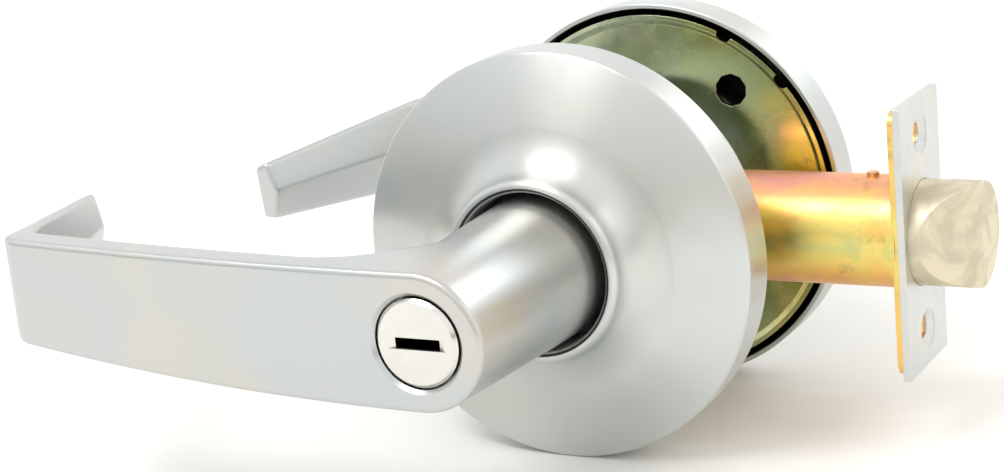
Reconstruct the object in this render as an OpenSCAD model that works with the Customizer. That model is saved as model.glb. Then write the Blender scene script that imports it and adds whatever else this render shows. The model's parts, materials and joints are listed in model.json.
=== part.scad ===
// Privacy lever lockset for a cylindrical door preparation.
// The spindle axis lies along Y, the latch points along +X and both grips point along -X.
// The origin is where the spindle axis crosses the latch axis, half way through the door.

/* [Door preparation] */
// Thickness of the door, the distance between the rims of the two roses
door_t = 44.45; // [38:0.05:54]
// Distance from the spindle axis to the front of the faceplate
backset = 69.85; // [64:0.05:90]

/* [Latch] */
// Distance that the bolt stands out of the faceplate
throw = 12.7; // [9:0.1:13]
// Diameter of the round bolt
bolt_d = 22.1; // [16:0.1:22.6]
// Wall of the latch tube
tube_wall = 0.62; // [0.5:0.01:1.2]
// Height of the faceplate
faceplate_h = 57.15; // [52:0.05:70]
// Width of the faceplate
faceplate_w = 25.4; // [25:0.1:32]
// Thickness of the faceplate
faceplate_t = 1.5; // [1:0.05:3]
// Thickness of the backing plate behind the faceplate
backing_t = 1.3; // [0.8:0.05:2]
// Distance between the two faceplate screw holes
screw_spacing = 41.3; // [38:0.1:48]
// Diameter of the faceplate screw holes
screw_hole_d = 4.7; // [3:0.1:6]
// Diameter of the countersinks of the screw holes
countersink_d = 8.9; // [6.5:0.1:10]
// Angle between the bevel of the bolt and the latch axis
bevel_angle = 48; // [35:1:60]
// Distance from the faceplate to the start of the bevel
bevel_start = 2.1; // [0.5:0.1:4]

/* [Rose] */
// Diameter of the rose
rose_d = 88; // [80:0.5:110]
// Height of the straight rim of the rose
rose_rim_h = 9.8; // [6:0.1:12]
// Thickness of the rose's sheet metal
rose_sheet = 1.2; // [0.6:0.1:2]
// Distance from the door to the top of the rose's collar
collar_h = 20.7; // [18:0.1:26]
// Diameter of the hole in the collar
collar_hole_d = 33.8; // [33:0.1:42]
// Width of the collar's rounded lip
lip_w = 2.7; // [2:0.1:4]
// Thickness of the rose plate
plate_t = 1.6; // [1:0.1:2.5]
// Gap between the rose's rim and the edge of the rose plate
plate_gap = 1.3; // [0.5:0.1:2.5]
// Distance from the axis to the two through-bolt holes of the rose plate
bolt_hole_radius = 30.9; // [29.5:0.1:34]
// Distance across the corners of a through-bolt hole
bolt_hole_d = 7.5; // [4:0.1:8]
// Turn of the inside rose plate about the spindle axis
plate_turn = 51.5; // [0:0.5:180]

/* [Lever] */
// Distance from the door to the lever's front face
lever_proj = 67.2; // [62:0.1:85]
// Distance from the spindle axis to the bend of the grip
grip_len = 97.5; // [85:0.1:120]
// Distance from the spindle axis to the end of the return
lever_reach = 120.7; // [100:0.1:150]
// Distance from the door to the end of the return
return_gap = 12.7; // [8:0.1:20]
// Thickness of the grip
grip_t = 7; // [5:0.1:9]
// Thickness of the return
return_t = 6; // [4:0.1:8]
// Diameter of the shank at the rose
shank_d = 31.8; // [27:0.1:32.4]
// Diameter of the shank at the lever's front face
shank_front_d = 27.6; // [25:0.1:30]
// Height of the grip's top edge above the axis at the bend
bend_top = 16.2; // [14:0.1:18]
// Height of the grip's bottom edge below the axis at the bend
bend_bottom = 6.2; // [4:0.1:10]
// Height of the return's top edge above the axis at its end
end_top = 10; // [6:0.1:14]
// Height of the return's bottom edge below the axis at its end
end_bottom = 3.3; // [2:0.1:8]
// Angle that the inside lever hangs below level
inside_sag = 5; // [0:0.5:8]
// Angle that a lever turns to draw the bolt
lever_swing = 50; // [40:1:60]

/* [Privacy buttons] */
// Diameter of the slotted turn button in the outside lever
turn_d = 17.6; // [14:0.1:20]
// Gap round the turn button
turn_gap = 0.45; // [0.3:0.05:0.8]
// Length of the turn button's slot
slot_l = 12.7; // [8:0.1:13]
// Width of the turn button's slot
slot_w = 2.3; // [1:0.1:2.5]
// Depth of the turn button's slot
slot_depth = 1.6; // [0.8:0.1:2.5]
// Diameter of the push button in the inside lever
push_d = 9; // [7:0.1:10]
// Distance that the push button stands out
push_proj = 6; // [5:0.1:8]
// Distance that the push button travels
push_travel = 4.5; // [3:0.1:4.6]

/* [Spindles and hubs] */
// Diameter of the spindle tubes
spindle_d = 19; // [17:0.1:23]
// Wall of the spindle tubes
spindle_wall = 1.6; // [1:0.1:2]
// Diameter of the threaded hubs
hub_d = 31.8; // [29:0.1:34]
// Radial play of a shaft in its bore
running_gap = 0.09; // [0.04:0.01:0.1]
// Radius of the emergency rod and of the locking rod
rod_r = 1.6; // [1:0.1:1.7]

/* [Chassis] */
// Diameter of the chassis, for the cross bore of the door
chassis_d = 52; // [50:0.1:54]
// Width of the chassis between its two end caps
chassis_w = 26; // [24:0.1:30]
// Thickness of the chassis sheet
chassis_t = 1.8; // [1:0.1:2.5]

/* [Hidden] */
$fn = 96;
eps = 0.01;

// Space between parts that move past each other without touching
clear = 0.3;

// Trim heights, measured outwards from the door face
plate_recess = 1.2;
plate_top = plate_recess + plate_t;
plate_edge_r = rose_d / 2 - rose_sheet - plate_gap;
cage_floor_t = 1;
cage_floor_top = plate_top + cage_floor_t;
small_gap = 0.1;
spring_wire = 1.3;
spring_turns = 1.75;
spring_rise = spring_turns * (spring_wire + 2 * small_gap);
spring_low = cage_floor_top + spring_wire / 2 + small_gap;
driver_z = cage_floor_top + spring_rise + spring_wire + 4 * small_gap;
driver_t = 1.8;
hub_end = driver_z - 2 * small_gap;
shank_gap = 0.4;
shank_end = driver_z + driver_t + shank_gap;
dog_h = 3;
dog_w = 6;
collar_foot = shank_end + 2 * shank_gap;

// Trim radii
spindle_r = spindle_d / 2;
spindle_bore_r = spindle_r - spindle_wall;
bearing_r = spindle_r + running_gap;
hub_r = hub_d / 2;
plate_bore_r = hub_r + running_gap;
cage_room = 10.6;
cage_wall = 1.2;
cage_r = hub_r + cage_room + cage_wall;
driver_r = hub_r + cage_room - 0.5;
spring_mean_r = hub_r + 3.4;
shank_r = shank_d / 2;
shank_front_r = shank_front_d / 2;
collar_hole_r = collar_hole_d / 2;
lip_r = collar_hole_r + lip_w;
sweep_run = 9.4;
face_rise = 2.8;
sweep_foot_r = lip_r + sweep_run;
sweep_foot_z = rose_rim_h + face_rise;
sweep_top_z = collar_h - 2;

// Lever cavity
head_depth = 17.2;
cavity_top = lever_proj - head_depth;
spindle_end = cavity_top - 4;
catch_z = shank_end + 15;
catch_r = 2;
catch_depth = 2.2;
turn_r = turn_d / 2;
turn_t = 5.7;
turn_back = lever_proj - turn_t;
turn_chamfer = 0.7;
push_chamfer = 0.8;
turn_stem_r = 4;
clip_r = 6;
clip_t = 1;
clip_z = cavity_top - clip_t - small_gap;
push_r = push_d / 2;
flange_r = push_r + 1.5;
flange_t = 1.5;
flange_z = cavity_top - flange_t - small_gap;
spring_seat_z = cavity_top - 20;
spring_seat_t = 1.5;
rod_bore_r = rod_r + 0.6;
rod_socket = 4;
locking_end = 5.2;
emergency_end = 0.4;

// Retractor and cam blades
blade_x = 3.2;
blade_z = 5.5;
blade_sweep = blade_z * sin(lever_swing) + blade_x * cos(lever_swing);
blade_gap = 0.6;
blade_play = 0.25;
retractor_w = 16;
retractor_wall = 1.4;
retractor_h = norm([blade_x, blade_z]) + blade_play + retractor_wall;
retractor_back_t = 2.4;
retractor_back = blade_sweep + blade_play + retractor_back_t;
retractor_front = throw + blade_sweep + small_gap;
web_back = 3.8;
web_t = 2;
hook_t = 2.9;
tail_z = 3;
tail_y = 1.2;
tail_head_z = 5;
tail_head_t = 1.3;
tail_head_x = retractor_front + 0.9;

// Latch
bolt_r = bolt_d / 2;
tube_bore_r = bolt_r + running_gap;
tube_r = tube_bore_r + tube_wall;
tube_start = retractor_front + hook_t + 0.6;
faceplate_back = backset - faceplate_t;
backing_back = faceplate_back - backing_t;
tube_end = backing_back + 0.5;
tube_flange_w = 1.7;
tube_flange_r = tube_r + 0.7;
washer_t = 1.6;
washer_r = tube_bore_r - 0.05;
washer_x = tube_start + 0.4;
bolt_tip = backset + throw;
bolt_rear = washer_x + washer_t + 2 * throw + 0.8;
bolt_wall = 3;
tail_hook_t = 2;
tail_hook_x = bolt_rear + bolt_wall + clear;
bolt_cavity_r = bolt_r - 2.6;
bolt_cavity_end = tail_hook_x + tail_hook_t + throw + clear;

// Chassis
chassis_r = chassis_d / 2;
chassis_inner_r = chassis_r - chassis_t;
cap_t = 2;

// A point of the circle of radius r round (x, y) at angle a
function arc_point(x, y, r, a) = [x + r * cos(a), y + r * sin(a)];

// Points of an arc from angle a0 to a1 in n steps
function arc(x, y, r, a0, a1, n) = [for (i = [0 : n]) arc_point(x, y, r, a0 + (a1 - a0) * i / n)];

// Top and bottom edges of the grip, seen from the front, at a distance d from the axis
function grip_share(d) = d / grip_len;
function return_share(d) = (d - grip_len) / (lever_reach - grip_len);
function top_edge(d) = d <= grip_len
    ? shank_front_r + (bend_top - shank_front_r) * pow(grip_share(d), 2)
    : bend_top + (end_top - bend_top) * return_share(d);
function bottom_edge(d) = d <= grip_len
    ? -shank_front_r + (shank_front_r - bend_bottom) * pow(grip_share(d), 2)
    : -bend_bottom + (bend_bottom - end_bottom) * return_share(d);

// One ring of a helix of wire, and the faces that join the rings of a closed tube
function coil_ring(i, steps, turns, r, wire, length, sides) = [for (k = [0 : sides - 1])
    let (a = 360 * turns * i / steps, b = 360 * k / sides, rr = r + wire * cos(b) / 2)
    [rr * cos(a), rr * sin(a), length * i / steps + wire * sin(b) / 2]];
function tube_faces(rings, sides) = concat(
    [[for (k = [0 : sides - 1]) k]],
    [for (i = [0 : rings - 2], k = [0 : sides - 1])
        [i * sides + k, (i + 1) * sides + k,
         (i + 1) * sides + (k + 1) % sides, i * sides + (k + 1) % sides]],
    [[for (k = [sides - 1 : -1 : 0]) (rings - 1) * sides + k]]);

// A helical spring along Z with its wire's centre line from z = 0 to z = length
module coil(r, wire, turns, length, sides = 6, per_turn = 12) {
    steps = ceil(turns * per_turn);
    points = [for (i = [0 : steps]) each coil_ring(i, steps, turns, r, wire, length, sides)];
    polyhedron(points, tube_faces(steps + 1, sides));
}

// Places trim on the outside of the door: local Z points away from the door face
module outside() {
    translate([0, -door_t / 2, 0]) rotate([90, 0, 0]) children();
}

// Places trim on the inside of the door
module inside() {
    mirror([0, 1, 0]) outside() children();
}

// Places what is set to the inside lever's rest, which hangs a little below level
module inside_turned() {
    rotate([0, -inside_sag, 0]) inside() children();
}

// Turns a part that is built along local Z to lie along +X from x
module along_x(x) {
    translate([x, 0, 0]) rotate([0, 90, 0]) children();
}

// ---- lever ----

// The grip, its bend and its return, seen from above
module grip_plan() {
    slope = atan2(lever_reach - grip_len, lever_proj - return_gap);
    across = return_t / cos(slope);
    inner_z = lever_proj - grip_t;
    bend_x = -grip_len + across - grip_t * tan(slope);
    bend_r = 5;
    bend_in = bend_r * tan((90 - slope) / 2);
    polygon(concat(
        [[0, inner_z], [0, lever_proj]],
        arc(-grip_len + bend_in, lever_proj - bend_r, bend_r, 90, 180 - slope, 6),
        [[-lever_reach, return_gap], [-lever_reach + across, return_gap],
         [bend_x, inner_z]]));
}

// The lever seen from the front: a round hub end and the tapering grip
module front_outline() {
    steps = 12;
    grip = [for (i = [0 : steps]) grip_len * i / steps];
    polygon(concat(
        [for (d = grip) [-d, top_edge(d)]],
        [[-lever_reach, top_edge(lever_reach)], [-lever_reach, bottom_edge(lever_reach)]],
        [for (i = [steps : -1 : 0]) [-grip[i], bottom_edge(grip[i])]]));
}

// The concave blend between the back of the grip and the shank
module shank_blend() {
    blend_r = 16;
    inner_z = lever_proj - grip_t;
    start_x = -shank_front_r - 0.6 - blend_r;
    half_h = shank_front_r - 5;
    translate([0, half_h, 0]) rotate([90, 0, 0]) linear_extrude(2 * half_h)
        polygon(concat(
            [[0, inner_z + 1], [start_x, inner_z + 1]],
            arc(start_x, inner_z - blend_r, blend_r, 90, 0, 8),
            [[0, inner_z - blend_r]]));
}

module lever_solid() {
    translate([0, 0, shank_end]) cylinder(h = lever_proj - shank_end, r1 = shank_r, r2 = shank_front_r);
    intersection() {
        translate([0, 50, 0]) rotate([90, 0, 0]) linear_extrude(100) grip_plan();
        linear_extrude(lever_proj) front_outline();
    }
    shank_blend();
}

// What both levers have inside: the spindle's bore, the catch's pocket and the driver's slots
module lever_bores() {
    translate([0, 0, shank_end - 1]) cylinder(h = cavity_top - shank_end + 1, r = bearing_r);
    translate([0, 0, catch_z]) rotate([90, 0, 0])
        cylinder(h = spindle_r + catch_depth + 2 * clear, r = catch_r + small_gap, $fn = 32);
    slot_y = dog_w / 2 + 2 * small_gap;
    translate([-shank_r - 1, -slot_y, shank_end - 1])
        cube([2 * shank_r + 2, 2 * slot_y, dog_h + 1 + 2 * small_gap]);
}

module outside_lever() {
    color("silver") outside() difference() {
        lever_solid();
        lever_bores();
        translate([0, 0, turn_back - clear]) cylinder(h = 20, r = turn_r + turn_gap);
        translate([0, 0, cavity_top - 1]) cylinder(h = 20, r = turn_stem_r + running_gap);
    }
}

module inside_lever() {
    color("silver") inside_turned() difference() {
        lever_solid();
        lever_bores();
        translate([0, 0, cavity_top - 1]) cylinder(h = 30, r = push_r + running_gap);
    }
}

// ---- privacy buttons ----

module outside_turn_button() {
    slot_r = (pow(slot_l / 2, 2) + pow(slot_depth, 2)) / (2 * slot_depth);
    color("gainsboro") outside() difference() {
        union() {
            translate([0, 0, turn_back]) cylinder(h = turn_t - turn_chamfer, r = turn_r);
            translate([0, 0, lever_proj - turn_chamfer - eps])
                cylinder(h = turn_chamfer, r1 = turn_r, r2 = turn_r - turn_chamfer);
            translate([0, 0, clip_z - small_gap])
                cylinder(h = turn_back - clip_z + 2 * small_gap, r = turn_stem_r);
        }
        translate([0, slot_w / 2, lever_proj - slot_depth + slot_r]) rotate([90, 0, 0])
            cylinder(h = slot_w, r = slot_r);
        translate([0, 0, clip_z - 1]) cylinder(h = rod_socket + 1, r = rod_r);
    }
}

module turn_button_clip() {
    color("dimgray") outside() translate([0, 0, clip_z]) difference() {
        cylinder(h = clip_t, r = clip_r);
        translate([0, 0, -1]) cylinder(h = clip_t + 2, r = turn_stem_r + eps);
        translate([-1.5, 0, -1]) cube([3, clip_r + 1, clip_t + 2]);
    }
}

module emergency_rod() {
    rod_bottom = emergency_end - door_t / 2;
    color("darkgoldenrod") outside() translate([0, 0, rod_bottom])
        cylinder(h = clip_z + rod_socket - rod_bottom, r = rod_r, $fn = 32);
}

module inside_push_button() {
    push_top = lever_proj + push_proj;
    color("gainsboro") inside_turned() difference() {
        union() {
            translate([0, 0, flange_z]) cylinder(h = flange_t, r = flange_r);
            translate([0, 0, cavity_top - 1])
                cylinder(h = push_top - push_chamfer - cavity_top + 1, r = push_r);
            translate([0, 0, push_top - push_chamfer - eps])
                cylinder(h = push_chamfer, r1 = push_r, r2 = push_r - push_chamfer);
        }
        translate([0, 0, flange_z - 1]) cylinder(h = rod_socket + 1, r = rod_r);
    }
}

module locking_rod() {
    rod_bottom = locking_end - door_t / 2;
    color("darkgoldenrod") inside_turned() translate([0, 0, rod_bottom])
        cylinder(h = flange_z + rod_socket - rod_bottom, r = rod_r, $fn = 32);
}

module push_button_spring() {
    wire = 0.7;
    low = spring_seat_z + wire / 2;
    high = flange_z - wire / 2;
    color("slategray") inside_turned() translate([0, 0, low]) coil(flange_r - 0.8, wire, 6, high - low);
}

// ---- spindles ----

// A tube that carries a lever, with a cam blade at its inner end
module spindle(seat) {
    web_z = chassis_w / 2 - web_back - door_t / 2;
    blade_end = blade_gap - door_t / 2;
    difference() {
        union() {
            translate([0, 0, web_z]) cylinder(h = spindle_end - web_z, r = spindle_r);
            translate([-blade_x, -blade_z, blade_end])
                cube([2 * blade_x, 2 * blade_z, web_z - blade_end + web_t / 2]);
        }
        translate([0, 0, web_z + web_t]) cylinder(h = spindle_end - web_z, r = spindle_bore_r);
        translate([0, 0, blade_end - 1]) cylinder(h = door_t, r = rod_bore_r, $fn = 32);
        translate([0, 0, catch_z]) rotate([90, 0, 0])
            cylinder(h = spindle_r + 1, r = catch_r + small_gap / 2, $fn = 32);
    }
    if (seat) {
        translate([0, 0, spring_seat_z - spring_seat_t]) difference() {
            cylinder(h = spring_seat_t, r = spindle_bore_r + 0.2);
            translate([0, 0, -1]) cylinder(h = spring_seat_t + 2, r = rod_bore_r, $fn = 32);
        }
    }
}

module outside_spindle() {
    color("lightsteelblue") outside() spindle(false);
}

module inside_spindle() {
    color("lightsteelblue") inside_turned() spindle(true);
}

// A spring pin through the spindle that holds the lever on
module lever_catch() {
    foot = 1;
    leaf = 5.2;
    translate([0, 0, catch_z]) rotate([90, 0, 0]) translate([0, 0, spindle_bore_r - foot])
        cylinder(h = spindle_wall + catch_depth + foot, r = catch_r, $fn = 32);
    translate([-leaf / 2, -spindle_bore_r + 0.55, catch_z - leaf / 2]) cube([leaf, foot, leaf]);
}

module outside_lever_catch() {
    color("gray") outside() lever_catch();
}

module inside_lever_catch() {
    color("gray") inside_turned() lever_catch();
}

// ---- return springs ----

// The driver turns with the lever: two dogs sit in the shank's slots and a lug pushes the spring's end
module driver() {
    difference() {
        translate([0, 0, driver_z]) cylinder(h = driver_t, r = driver_r);
        translate([0, 0, driver_z - 1]) cylinder(h = driver_t + 2, r = bearing_r);
    }
    for (s = [-1, 1]) {
        x = (bearing_r + 0.8) * s;
        w = shank_r - bearing_r - 2;
        translate([s > 0 ? x : x - w, -dog_w / 2, driver_z + driver_t - eps])
            cube([w, dog_w, shank_gap + dog_h]);
    }
    translate([small_gap, spring_mean_r - spring_wire / 2, driver_z - spring_wire - 2 * small_gap])
        cube([2.4, spring_wire, spring_wire + 3 * small_gap]);
}

module outside_driver() {
    color("dimgray") outside() driver();
}

module inside_driver() {
    color("dimgray") inside_turned() driver();
}

module return_spring() {
    translate([0, 0, spring_low]) mirror([0, 1, 0])
        coil(spring_mean_r, spring_wire, spring_turns, spring_rise, 8, 24);
}

module outside_return_spring() {
    color("slategray") outside() return_spring();
}

module inside_return_spring() {
    color("slategray") inside_turned() return_spring();
}

// A cup on the rose plate that holds the return spring
module spring_cage() {
    difference() {
        translate([0, 0, plate_top]) cylinder(h = driver_z + driver_t - plate_top, r = cage_r);
        translate([0, 0, cage_floor_top]) cylinder(h = 20, r = cage_r - cage_wall);
        translate([0, 0, plate_top - 1]) cylinder(h = 5, r = plate_bore_r);
    }
    translate([spring_mean_r - spring_wire / 2, small_gap, cage_floor_top - eps])
        cube([spring_wire, 2, spring_wire + small_gap]);
}

module outside_spring_cage() {
    color("dimgray") outside() spring_cage();
}

module inside_spring_cage() {
    color("dimgray") inside_turned() spring_cage();
}

// ---- roses ----

// The concave sweep of the rose from its face up to the collar, moved inwards by depth
function rose_sweep(depth, last) = [for (i = [0 : last]) let (a = 90 * i / 9)
    [sweep_foot_r - (sweep_foot_r - lip_r) * sin(a) - depth * sin(a),
     sweep_foot_z + (sweep_top_z - sweep_foot_z) * (1 - cos(a)) - depth * cos(a)]];

// The same points in the opposite order
function reversed(points) = [for (i = [len(points) - 1 : -1 : 0]) points[i]];

module rose() {
    r = rose_d / 2;
    inner_r = r - rose_sheet;
    chamfer = 0.8;
    lip_step = lip_w / 2;
    inner = rose_sweep(rose_sheet, 6);
    rotate_extrude() polygon(concat(
        [[r, 0], [r, rose_rim_h - chamfer], [r - chamfer, rose_rim_h]],
        rose_sweep(0, 9),
        arc(lip_r - lip_step, collar_h - lip_step, lip_step, 0, 180, 8),
        [[collar_hole_r, collar_foot], [collar_hole_r + rose_sheet, collar_foot],
         [collar_hole_r + rose_sheet, inner[6][1]]],
        reversed(inner),
        [[inner_r - 0.6, rose_rim_h - rose_sheet], [inner_r, rose_rim_h - rose_sheet - 0.6],
         [inner_r, 0]]));
}

module outside_rose() {
    color("silver") outside() rose();
}

module inside_rose() {
    color("silver") inside() rose();
}

// The plate that screws on to the hub and that the rose covers
module rose_plate() {
    rim_w = 2.2;
    notch_r = 1.8;
    notch_angle = 11.5;
    difference() {
        rotate_extrude() polygon([
            [plate_bore_r, plate_recess], [plate_edge_r - rim_w, plate_recess],
            [plate_edge_r - rim_w + plate_recess, 0], [plate_edge_r, 0], [plate_edge_r, plate_t],
            [plate_edge_r - rim_w + plate_recess, plate_t], [plate_edge_r - rim_w, plate_top],
            [plate_bore_r, plate_top]]);
        for (turn = [0, 180]) rotate([0, 0, turn]) {
            translate([bolt_hole_radius, 0, -1]) cylinder(h = 6, r = bolt_hole_d / 2, $fn = 10);
            for (s = [-1, 1]) rotate([0, 0, s * notch_angle]) translate([plate_edge_r, 0, -1])
                cylinder(h = 6, r = notch_r, $fn = 32);
        }
    }
}

module outside_rose_plate() {
    color("darkkhaki") outside() rotate([0, 0, plate_turn]) rose_plate();
}

module inside_rose_plate() {
    color("darkkhaki") inside() rotate([0, 0, plate_turn]) rose_plate();
}

// ---- chassis ----

// An end cap of the chassis with the threaded hub that carries a rose plate
module hub() {
    cap_z = chassis_w / 2 - door_t / 2;
    difference() {
        union() {
            translate([0, 0, cap_z]) cylinder(h = cap_t, r = chassis_r);
            translate([0, 0, cap_z]) cylinder(h = hub_end - cap_z, r = hub_r);
        }
        translate([0, 0, cap_z - 1]) cylinder(h = door_t, r = bearing_r);
    }
}

module outside_hub() {
    color("lightsteelblue") outside() hub();
}

module inside_hub() {
    color("lightsteelblue") inside() hub();
}

module chassis_frame() {
    rail_t = 1.5;
    rail_w = 10;
    rail_z = retractor_h + 0.15;
    rail_x = sqrt(pow(chassis_inner_r + 0.5, 2) - pow(rail_z + rail_t, 2));
    color("lightsteelblue") {
        difference() {
            translate([0, chassis_w / 2, 0]) rotate([90, 0, 0]) cylinder(h = chassis_w, r = chassis_r);
            translate([0, chassis_w / 2 + 1, 0]) rotate([90, 0, 0])
                cylinder(h = chassis_w + 2, r = chassis_inner_r);
            along_x(0) cylinder(h = chassis_d, r = tube_r + clear);
        }
        for (s = [-1, 1]) translate([-rail_x, -rail_w / 2, s > 0 ? rail_z : -rail_z - rail_t])
            cube([2 * rail_x - 4, rail_w, rail_t]);
    }
}

// The slide that the outside spindle's blade pushes back, and that holds the latch tail's head
module retractor() {
    front = retractor_front + hook_t;
    half_w = retractor_w / 2;
    window_back = blade_sweep + blade_play;
    slot_w = 2 * (tail_y + small_gap);
    color("goldenrod") difference() {
        translate([-retractor_back, -half_w, -retractor_h])
            cube([retractor_back + front, retractor_w, 2 * retractor_h]);
        translate([-window_back, -half_w - 1, -retractor_h + retractor_wall])
            cube([retractor_front + window_back, retractor_w + 2, 2 * (retractor_h - retractor_wall)]);
        translate([tail_head_x - small_gap, -slot_w / 2, -tail_head_z - small_gap])
            cube([tail_head_t + 2 * small_gap, slot_w, retractor_h + tail_head_z + 1]);
        translate([tail_head_x - small_gap, -slot_w / 2, -tail_z - small_gap])
            cube([hook_t, slot_w, retractor_h + tail_z + 1]);
    }
}

module retractor_springs() {
    wire = 0.7;
    spring_z = 4.5;
    coil_r = 2;
    edge_z = spring_z + coil_r + wire;
    low = -sqrt(pow(chassis_inner_r, 2) - pow(edge_z, 2)) + wire / 2;
    high = -retractor_back - wire / 2;
    color("slategray") for (s = [-1, 1]) translate([0, 0, s * spring_z]) along_x(low)
        coil(coil_r, wire, 4, high - low);
}

// ---- latch ----

module latch_tube() {
    nub_x = backset - 10.3;
    nub_r = 1.3;
    nub_h = 0.6;
    color("goldenrod") {
        along_x(0) difference() {
            union() {
                translate([0, 0, tube_start]) cylinder(h = tube_end - tube_start, r = tube_r);
                translate([0, 0, tube_end - tube_flange_w]) cylinder(h = tube_flange_w, r = tube_flange_r);
            }
            cylinder(h = backset, r = tube_bore_r);
        }
        translate([nub_x, 0, tube_bore_r + small_gap])
            cylinder(h = tube_wall + nub_h, r = nub_r, $fn = 24);
    }
}

module latch_stop_washer() {
    color("slategray") along_x(washer_x) difference() {
        cylinder(h = washer_t, r = washer_r);
        translate([0, 0, -1]) cylinder(h = washer_t + 2, r = tail_z + 2 * clear);
    }
}

// A plate of height h, width w and thickness t whose back is at x, with corners of radius r
module edge_plate(x, h, w, t, r) {
    along_x(x) linear_extrude(t) polygon(concat(
        arc(h / 2 - r, w / 2 - r, r, 0, 90, 5), arc(-h / 2 + r, w / 2 - r, r, 90, 180, 5),
        arc(-h / 2 + r, -w / 2 + r, r, 180, 270, 5), arc(h / 2 - r, -w / 2 + r, r, 270, 360, 5)));
}

module latch_backing_plate() {
    color("darkgoldenrod") difference() {
        edge_plate(backing_back, faceplate_h - 1.6, faceplate_w - 0.8, backing_t, 3);
        along_x(0) cylinder(h = backset, r = tube_bore_r);
        along_x(0) cylinder(h = tube_end, r = tube_flange_r + small_gap);
        for (s = [-1, 1]) translate([0, 0, s * screw_spacing / 2]) along_x(0)
            cylinder(h = backset, r = screw_hole_d / 2 + 0.6);
    }
}

module latch_faceplate() {
    sink_slope = 0.5;
    sink_h = sink_slope * (countersink_d - screw_hole_d) / 2;
    color("silver") difference() {
        edge_plate(faceplate_back, faceplate_h, faceplate_w, faceplate_t, 0.4);
        along_x(0) cylinder(h = 2 * backset, r = tube_bore_r);
        for (s = [-1, 1]) translate([0, 0, s * screw_spacing / 2]) {
            along_x(0) cylinder(h = 2 * backset, r = screw_hole_d / 2);
            along_x(backset - sink_h)
                cylinder(h = sink_h + eps, r1 = screw_hole_d / 2, r2 = countersink_d / 2);
        }
    }
}

module latch_bolt() {
    color("wheat") difference() {
        along_x(bolt_rear) cylinder(h = bolt_tip - bolt_rear, r = bolt_r);
        translate([backset + bevel_start, -bolt_r, -bolt_d]) rotate([0, 0, 90 - bevel_angle])
            translate([0, -3 * bolt_d, 0]) cube([3 * bolt_d, 3 * bolt_d, 2 * bolt_d]);
        along_x(bolt_rear + bolt_wall)
            cylinder(h = bolt_cavity_end - bolt_rear - bolt_wall, r = bolt_cavity_r);
        translate([bolt_rear - 1, -tail_y - 2 * small_gap, -tail_z - 2 * small_gap])
            cube([bolt_wall + 2, 2 * tail_y + 4 * small_gap, 2 * tail_z + 4 * small_gap]);
    }
}

module latch_tail() {
    length = tail_hook_x + tail_hook_t - tail_head_x;
    color("darkgoldenrod") {
        translate([tail_head_x, -tail_y, -tail_head_z]) cube([tail_head_t, 2 * tail_y, 2 * tail_head_z]);
        translate([tail_head_x, -tail_y, -tail_z]) cube([length, 2 * tail_y, 2 * tail_z]);
        translate([tail_hook_x, -tail_y, -tail_head_z]) cube([tail_hook_t, 2 * tail_y, 2 * tail_head_z]);
    }
}

module latch_spring() {
    wire = 1;
    low = washer_x + washer_t + wire / 2;
    high = bolt_rear - wire / 2;
    color("slategray") along_x(low) coil(bolt_r - 3.5, wire, 7, high - low);
}

outside_lever();
outside_turn_button();
turn_button_clip();
emergency_rod();
outside_spindle();
outside_lever_catch();
outside_driver();
outside_return_spring();
outside_spring_cage();
outside_rose();
outside_rose_plate();
outside_hub();
chassis_frame();
retractor();
retractor_springs();
inside_hub();
inside_rose_plate();
inside_rose();
inside_spring_cage();
inside_return_spring();
inside_driver();
inside_lever_catch();
inside_spindle();
inside_push_button();
push_button_spring();
locking_rod();
inside_lever();
latch_tube();
latch_stop_washer();
latch_backing_plate();
latch_faceplate();
latch_bolt();
latch_tail();
latch_spring();
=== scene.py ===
"""Looks of a privacy lever lockset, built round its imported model.

Sizes are in millimetres and become metres when a mesh is made. The trim of each
side is drawn in its own directions: x along the latch, y up and z out from the
door face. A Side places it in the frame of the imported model.
"""

import json
import logging
import math
from dataclasses import dataclass, field
from enum import Enum
from typing import Callable, Sequence

import bmesh
import bpy
import numpy as np
from mathutils import Matrix, Vector


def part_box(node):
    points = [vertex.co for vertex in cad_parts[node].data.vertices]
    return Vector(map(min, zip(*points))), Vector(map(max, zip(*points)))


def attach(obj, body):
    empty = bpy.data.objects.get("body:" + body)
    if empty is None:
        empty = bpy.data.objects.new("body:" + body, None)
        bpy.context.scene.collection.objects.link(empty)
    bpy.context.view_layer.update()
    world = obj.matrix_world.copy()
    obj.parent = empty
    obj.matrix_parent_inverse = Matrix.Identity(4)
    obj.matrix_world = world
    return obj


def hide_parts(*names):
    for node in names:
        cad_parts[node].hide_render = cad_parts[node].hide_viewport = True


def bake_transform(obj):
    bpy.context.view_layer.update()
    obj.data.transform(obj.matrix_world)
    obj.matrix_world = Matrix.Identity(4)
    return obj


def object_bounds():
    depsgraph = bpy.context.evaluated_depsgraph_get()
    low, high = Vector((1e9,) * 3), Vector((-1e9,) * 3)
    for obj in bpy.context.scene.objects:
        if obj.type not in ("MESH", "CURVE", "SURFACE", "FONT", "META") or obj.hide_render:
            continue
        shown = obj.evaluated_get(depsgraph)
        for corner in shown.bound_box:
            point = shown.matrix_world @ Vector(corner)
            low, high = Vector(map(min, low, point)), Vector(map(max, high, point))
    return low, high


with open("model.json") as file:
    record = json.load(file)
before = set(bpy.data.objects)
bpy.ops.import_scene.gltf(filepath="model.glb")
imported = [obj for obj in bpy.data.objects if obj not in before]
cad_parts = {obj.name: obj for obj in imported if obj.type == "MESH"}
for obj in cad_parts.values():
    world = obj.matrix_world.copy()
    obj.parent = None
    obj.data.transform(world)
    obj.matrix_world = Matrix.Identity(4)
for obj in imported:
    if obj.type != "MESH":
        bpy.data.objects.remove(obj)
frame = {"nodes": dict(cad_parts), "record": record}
cad_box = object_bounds()

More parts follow.
